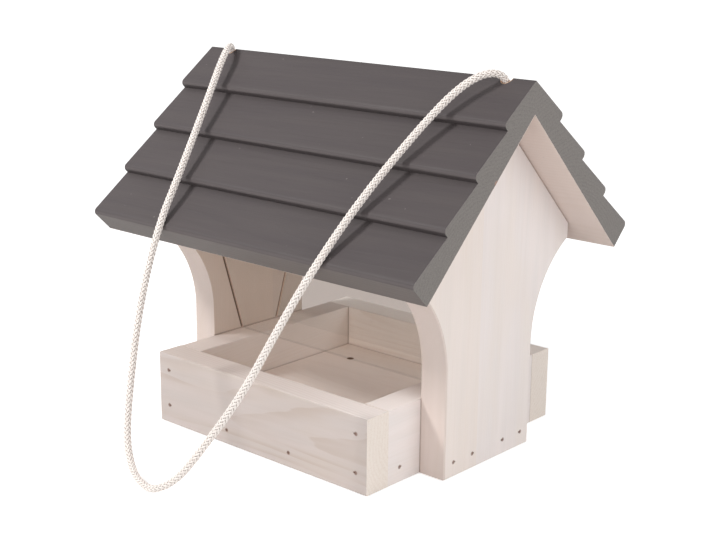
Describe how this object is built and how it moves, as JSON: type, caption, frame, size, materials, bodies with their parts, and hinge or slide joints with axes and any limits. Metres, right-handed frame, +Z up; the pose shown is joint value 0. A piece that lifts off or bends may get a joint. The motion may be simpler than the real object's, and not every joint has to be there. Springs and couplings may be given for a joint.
{
  "type": "bird feeder",
  "caption": "Gable-roofed wooden bird feeder: open tray, clear-sided seed hopper, coved gables and a lapped roof that lifts along its hanging rope.",
  "frame": {"origin": "under the middle of the tray, on the surface that the feeder stands on", "axes": "+Z up, +X along the ridge to the right, -Y towards the front where the rope hangs down"},
  "size_m": [0.285, 0.2969, 0.2556],
  "materials": {
    "white_wood": "planed softwood under a thin white wash, matt",
    "grey_wood": "planed softwood under dark grey matt paint, whitewashed underneath",
    "clear_sheet": "clear acrylic sheet, smooth",
    "rope": "solid braided cord, off-white with a fine sheen",
    "nail": "flat brads, dull steel"
  },
  "bodies": {
    "base": {"tray_front_board": "white_wood", "tray_back_board": "white_wood", "tray_side_left": "white_wood", "tray_side_right": "white_wood", "tray_floor": "white_wood", "gable_left": "white_wood", "gable_right": "white_wood", "front_pane": "clear_sheet", "rear_pane": "clear_sheet", "rope_tail_left": "rope", "rope_tail_right": "rope", "rope_knot_left": "rope", "rope_knot_right": "rope", "front_board_nails": "nail", "back_board_nails": "nail", "side_left_nails": "nail", "side_right_nails": "nail", "gable_left_nails": "nail", "gable_right_nails": "nail"},
    "roof": {"roof_front": "grey_wood", "roof_rear": "grey_wood", "ridge_nails": "nail", "hanging_rope": "rope"}
  },
  "joints": [
    {"name": "roof_lift", "type": "slide", "parent": "base", "child": "roof", "axis": [0, 0, 1], "range_m": [0, 0.15], "deforming": ["rope_tail_left", "rope_tail_right"]}
  ]
}
